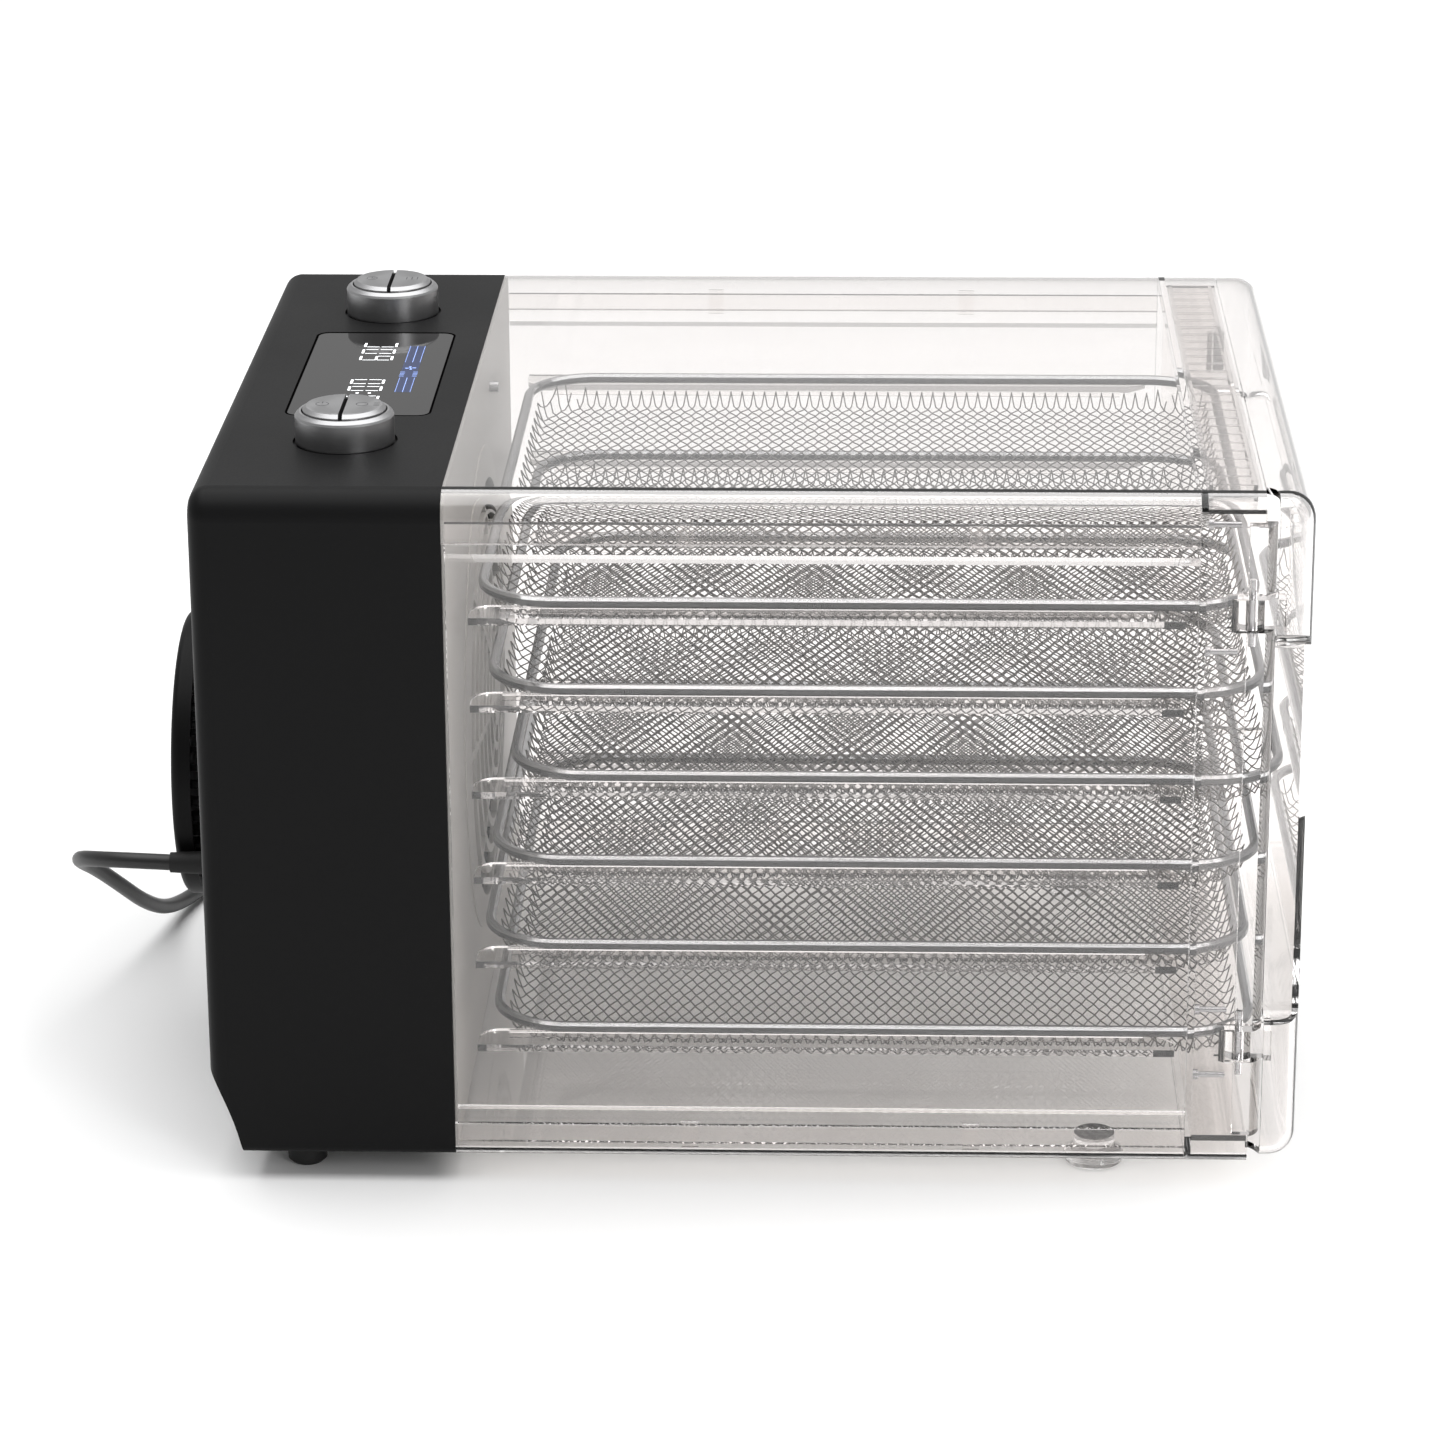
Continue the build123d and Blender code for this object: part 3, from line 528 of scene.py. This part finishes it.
def plastic(name, colour, roughness, specular=0.5, grain=1800.0, tone=0.1, bump=0.25, coat=0.0):
    made, tree, shader = material(name)
    marks = effect(tree, GRAIN, {"Color": (*colour, 1), "Grain Scale": grain, "Tone Change": tone,
                                 "Roughness": roughness, "Roughness Change": 0.1})
    join(tree, shader.inputs["Base Color"], marks["Color"])
    join(tree, shader.inputs["Roughness"], marks["Roughness"])
    shader.inputs["Specular IOR Level"].default_value = specular
    shader.inputs["Coat Weight"].default_value = coat
    bumped(tree, shader, marks["Height"], bump, 0.0001)
    return made


def metal(name, colour, roughness, stretch, line_scale=900.0, tone=0.3, bump=0.15,
          anisotropy=0.0, round_axis=None, painted_side_shade=1.0):
    """Brushed metal; stretch squeezes the pattern along the brushing, and the last argument is painted
    shade that darkens the sides against a lighter top.
    """
    made, tree, shader = material(name)
    place = object_place(tree)
    if round_axis:
        apart = add(tree, "SeparateXYZ", {}, {0: place})
        x = math(tree, "SUBTRACT", apart.outputs[0], round_axis[0])
        y = math(tree, "SUBTRACT", math(tree, "ABSOLUTE", apart.outputs[1]), round_axis[1])
        radius = math(tree, "SQRT", math(tree, "ADD", math(tree, "MULTIPLY", x, x),
                                         math(tree, "MULTIPLY", y, y)))
        angle = math(tree, "ARCTAN2", y, x)
        place = add(tree, "CombineXYZ", {}, {0: radius, 1: math(tree, "MULTIPLY", angle, 0.002),
                                             2: apart.outputs[2]}).outputs[0]
    squeezed = add(tree, "Mapping", {}, {"Vector": place, "Scale": stretch}).outputs[0]
    marks = effect(tree, BRUSH, {"Color": (*colour, 1), "Place": squeezed,
                                 "Line Scale": line_scale, "Tone Change": tone,
                                 "Roughness": roughness, "Roughness Change": 0.14})
    # Painted shade: faces that do not point up are darkened, so the top reads as a lighter line.
    facing = add(tree, "SeparateXYZ", {}, {0: add(tree, "NewGeometry").outputs["Normal"]}).outputs[2]
    painted_shade_colour = tinted(tree, marks["Color"], between(tree, facing, painted_side_shade, 1.0))
    join(tree, shader.inputs["Base Color"], painted_shade_colour)
    join(tree, shader.inputs["Roughness"], marks["Roughness"])
    shader.inputs["Metallic"].default_value = 1.0
    shader.inputs["Anisotropic"].default_value = anisotropy
    bumped(tree, shader, marks["Height"], bump, 0.0001)
    return made


def clear(name, colour, roughness, ior, shade, wave=0.06):
    """Clear moulding. Light on its way to other surfaces passes with a slight loss."""
    made, tree, shader = material(name)
    marks = effect(tree, FLOW, {"Roughness": roughness, "Mark Strength": 0.015})
    shader.inputs["Base Color"].default_value = (*colour, 1)
    shader.inputs["Transmission Weight"].default_value = 1.0
    shader.inputs["IOR"].default_value = ior
    join(tree, shader.inputs["Roughness"], marks["Roughness"])
    bumped(tree, shader, marks["Height"], wave, 0.001)
    path = add(tree, "LightPath").outputs
    passing = math(tree, "MAXIMUM", path["Is Shadow Ray"], path["Is Diffuse Ray"])
    through = add(tree, "BsdfTransparent", {}, {"Color": (*shade, 1)})
    mix = add(tree, "MixShader", {}, {0: passing, 1: shader.outputs[0], 2: through.outputs[0]})
    join(tree, tree.nodes["Material Output"].inputs["Surface"], mix.outputs[0])
    return made


def lit(name, colour, strength):
    made, tree, shader = material(name)
    flicker = noise(tree, object_place(tree), 900.0)
    marks = tinted(tree, (*colour, 1), between(tree, flicker, 0.9, 1.05))
    join(tree, shader.inputs["Base Color"], marks)
    join(tree, shader.inputs["Emission Color"], marks)
    shader.inputs["Emission Strength"].default_value = strength
    shader.inputs["Roughness"].default_value = 0.4
    return made


MATERIALS = {
    "black_plastic": plastic("black_plastic", (0.005, 0.005, 0.0052), 0.45, 0.1, 1500.0, 0.25),
    "grey_plastic": plastic("grey_plastic", (0.40, 0.385, 0.37), 0.42, 0.4, 1500.0, 0.06),
    "display_glass": plastic("display_glass", (0.008, 0.0075, 0.0075), 0.05, 0.34, 90.0, 0.05, 0.02),
    "circuit_board": plastic("circuit_board", (0.02, 0.12, 0.06), 0.35, 0.5, 700.0, 0.4),
    "knob_metal": metal("knob_metal", (0.37, 0.37, 0.375), 0.34, (1, 1, 1), 2500.0, 0.3, 0.1,
                        0.5, (-0.153, 0.103)),
    "dark_nylon": plastic("dark_nylon", (0.02, 0.02, 0.022), 0.5, 0.4, 1200.0, 0.2),
    "steel": metal("steel", (0.42, 0.42, 0.43), 0.28, (0.15, 1, 1)),
    "aluminium": metal("aluminium", (0.7, 0.7, 0.71), 0.34, (1, 0.2, 1)),
    "mica": plastic("mica", (0.55, 0.47, 0.32), 0.4, 0.4, 260.0, 0.5),
    "heater_wire": metal("heater_wire", (0.33, 0.28, 0.26), 0.4, (1, 1, 0.2)),
    "clear_plastic": clear("clear_plastic", (0.985, 0.968, 0.96), 0.0, 1.49, (0.985, 0.98, 0.975), 0.004),
    # Painted shade on the rim sides, which leaves a lighter line along the top.
    "polished_steel": metal("polished_steel", (0.5, 0.51, 0.52), 0.13, (0.08, 1, 1), 1400.0,
                            0.15, 0.05, painted_side_shade=0.16),
    "steel_wire": metal("steel_wire", (0.13, 0.12, 0.11), 0.3, (1, 1, 1), 1200.0, 0.4, 0.05),
    "black_rubber": plastic("black_rubber", (0.014, 0.014, 0.014), 0.62, 0.3, 1400.0, 0.3),
    "clear_rubber": clear("clear_rubber", (0.93, 0.93, 0.93), 0.08, 1.45, (0.85, 0.85, 0.85)),
    "cord_jacket": plastic("cord_jacket", (0.012, 0.012, 0.012), 0.42, 0.45, 900.0, 0.2),
}
LIT_WHITE = lit("lit_white", (0.95, 0.97, 1.0), 1.7)
LIT_BLUE = lit("lit_blue", (0.3, 0.42, 0.85), 0.9)
GLOW_BLUE = lit("glow_blue", (0.012, 0.022, 0.07), 0.5)
# Painted shade: black without gloss, for the shade in the gap round the display window.
SEAM_SHADE_BLACK = plastic("seam_shade_black", (0.0015, 0.0015, 0.0015), 0.9, 0.0, 1500.0, 0.1)
PRINTED_GREY = plastic("printed_grey", (0.09, 0.09, 0.095), 0.5, 0.3, 2500.0, 0.3)


def paint_nodes():
    """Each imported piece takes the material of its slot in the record."""
    for part in frame["record"]["subparts"]:
        piece = frame["nodes"][part["node"]]
        finish = MATERIALS[part["material_slot"]]
        if not piece.material_slots:
            piece.data.materials.append(finish)
        for place in piece.material_slots:
            place.material = finish


# --- Floor and light -----------------------------------------------------------------------------
def floor():
    size, level = 9000.0, -0.3
    mesh = mesh_of("studio_floor", [(-size, -size, level), (size, -size, level),
                                    (size, size, level), (-size, size, level)], [[0, 1, 2, 3]])
    ground = bpy.data.objects.new("studio_floor", mesh)
    scene.collection.objects.link(ground)
    made, tree, shader = material("studio_floor")
    speck = noise(tree, object_place(tree), 3.0)
    shade = tinted(tree, (0.93, 0.93, 0.93, 1), between(tree, speck, 0.99, 1.01))
    join(tree, shader.inputs["Base Color"], shade)
    shader.inputs["Roughness"].default_value = 0.9
    shader.inputs["Specular IOR Level"].default_value = 0.1
    mesh.materials.append(made)


def panel_light(name, place, aim, size, power):
    data = bpy.data.lights.new(name, "AREA")
    data.shape = "RECTANGLE"
    data.size, data.size_y = size
    data.energy = power
    lamp = bpy.data.objects.new(name, data)
    scene.collection.objects.link(lamp)
    lamp.location = place
    direction = Vector(aim) - Vector(place)
    lamp.rotation_euler = direction.to_track_quat("-Z", "Y").to_euler()


def studio_light():
    world = bpy.data.worlds.new("studio")
    world.use_nodes = True
    tree = world.node_tree
    way = add(tree, "TexCoord").outputs["Generated"]
    apart = add(tree, "SeparateXYZ", {}, {0: way}).outputs
    ramp = add(tree, "ValToRGB", {}, {0: between(tree, math(tree, "ADD", apart[1], 1.0), 0, 0.5)})
    for stop, level in ((0.42, 0.45), (0.68, 1.0)):
        ramp.color_ramp.elements.new(stop).color = (level, level, level, 1)
    ramp.color_ramp.elements[0].color = (0.32, 0.32, 0.32, 1)
    ramp.color_ramp.elements[-1].color = (1.0, 1.0, 1.0, 1)
    join(tree, tree.nodes["Background"].inputs["Color"], ramp.outputs[0])
    scene.world = world
    panel_light("softbox_right", (1.6, -2.4, 1.2), (0, 0, 0.2), (0.7, 1.5), 22.0)
    panel_light("softbox_top", (0.1, 0.2, 3.0), (0.1, 0.2, 0), (4.5, 4.0), 140.0)


def view_settings():
    scene.view_settings.view_transform = "Standard"
    scene.view_settings.look = "None"
    for kind in ("max_bounces", "glossy_bounces", "transmission_bounces", "transparent_max_bounces"):
        setattr(scene.cycles, kind, 18)
    scene.cycles.caustics_reflective = False
    scene.cycles.caustics_refractive = False


# --- The whole -----------------------------------------------------------------------------------
paint_nodes()
cord.data.materials.append(MATERIALS["cord_jacket"])
tray_baskets().materials.append(MATERIALS["steel_wire"])
glass_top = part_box("display_window")[1].z / MM
lit_digits(glass_top).data.materials.append(LIT_WHITE)
lit_icons(glass_top).data.materials.append(LIT_BLUE)
display_glow(glass_top).data.materials.append(GLOW_BLUE)
painted_seam_shade().data.materials.append(SEAM_SHADE_BLACK)
for sign in button_signs():
    sign.data.materials.append(PRINTED_GREY)
floor()
studio_light()
view_settings()

bpy.context.view_layer.update()
